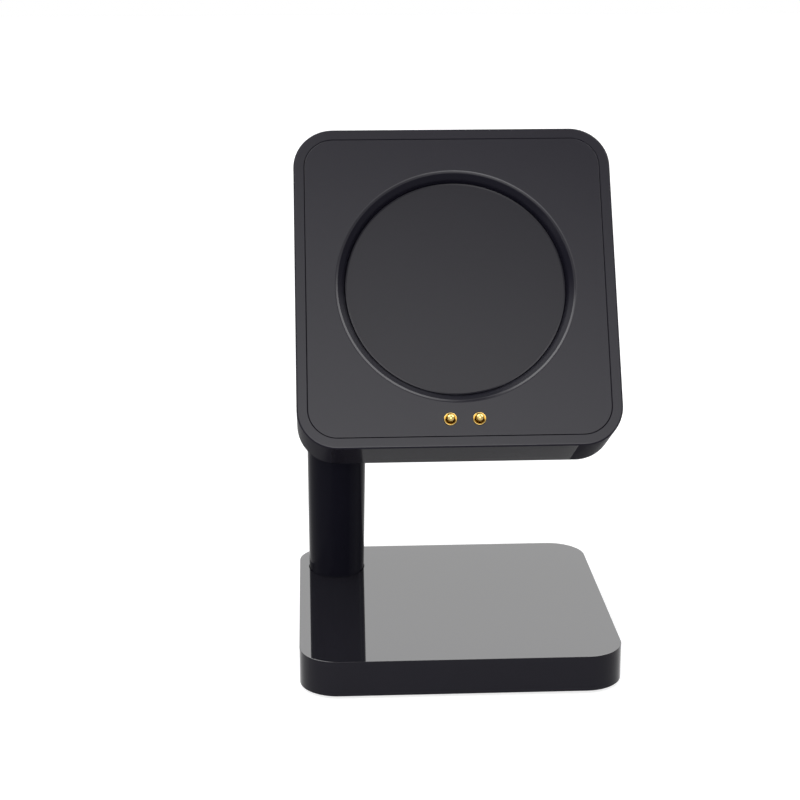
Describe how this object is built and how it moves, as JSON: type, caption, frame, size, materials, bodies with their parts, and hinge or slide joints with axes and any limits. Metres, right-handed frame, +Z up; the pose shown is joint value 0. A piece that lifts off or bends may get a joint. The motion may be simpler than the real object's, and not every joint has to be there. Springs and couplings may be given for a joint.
{
  "type": "smartwatch charging dock",
  "caption": "Desk charging dock for a smartwatch: a tilted square head with a round dish and sprung contacts, held by a leaning column on a flat square base.",
  "frame": {"origin": "on the ground, under the middle of the base, which is also the bottom centre of the box", "axes": "+Z up, -Y towards the front that the dish faces, +X to the viewer's right"},
  "size_m": [0.0362, 0.0364, 0.0597],
  "materials": {
    "head_plastic": "dark grey, satin, moulded",
    "pad_plastic": "dark grey, fine satin",
    "column_gloss": "near-black, high gloss",
    "base_gloss": "near-black, mirror gloss",
    "inner_plastic": "black, moulded, unpolished",
    "gold_plate": "gold plated, polished",
    "spring_steel": "drawn wire",
    "nickel_plate": "nickel plated",
    "steel": "plain, lightly oiled",
    "board": "green circuit board",
    "red_sleeve": "wire sleeve",
    "black_sleeve": "wire sleeve",
    "silicone": "matte silicone"
  },
  "bodies": {
    "stand": {"head_housing": "head_plastic", "face_plate": "head_plastic", "dish_pad": "pad_plastic", "column": "column_gloss", "base_shell": "base_gloss", "base_cover": "inner_plastic", "inlet_tongue": "inner_plastic", "contact_barrel_left": "gold_plate", "contact_barrel_right": "gold_plate", "contact_spring_left": "spring_steel", "contact_spring_right": "spring_steel", "magnet_1": "nickel_plate", "magnet_2": "nickel_plate", "magnet_3": "nickel_plate", "magnet_4": "nickel_plate", "inlet_shell": "nickel_plate", "ballast_plate": "steel", "cross_pin": "steel", "board_screw_1": "steel", "board_screw_2": "steel", "column_screw_1": "steel", "column_screw_2": "steel", "cover_screw_1": "steel", "cover_screw_2": "steel", "cover_screw_3": "steel", "cover_screw_4": "steel", "contact_board": "board", "base_board": "board", "wire_red": "red_sleeve", "wire_black": "black_sleeve", "foot_pad": "silicone"},
    "plunger_left": {"contact_plunger_left": "gold_plate"},
    "plunger_right": {"contact_plunger_right": "gold_plate"}
  },
  "joints": [
    {"name": "press_left", "type": "slide", "parent": "stand", "child": "plunger_left", "axis": [0, 0.8721, -0.4894], "range_m": [0, 0.0006], "stiffness_N_per_m": 300, "deforming": ["contact_spring_left"]},
    {"name": "press_right", "type": "slide", "parent": "stand", "child": "plunger_right", "axis": [0, 0.8721, -0.4894], "range_m": [0, 0.0006], "stiffness_N_per_m": 300, "deforming": ["contact_spring_right"]}
  ]
}
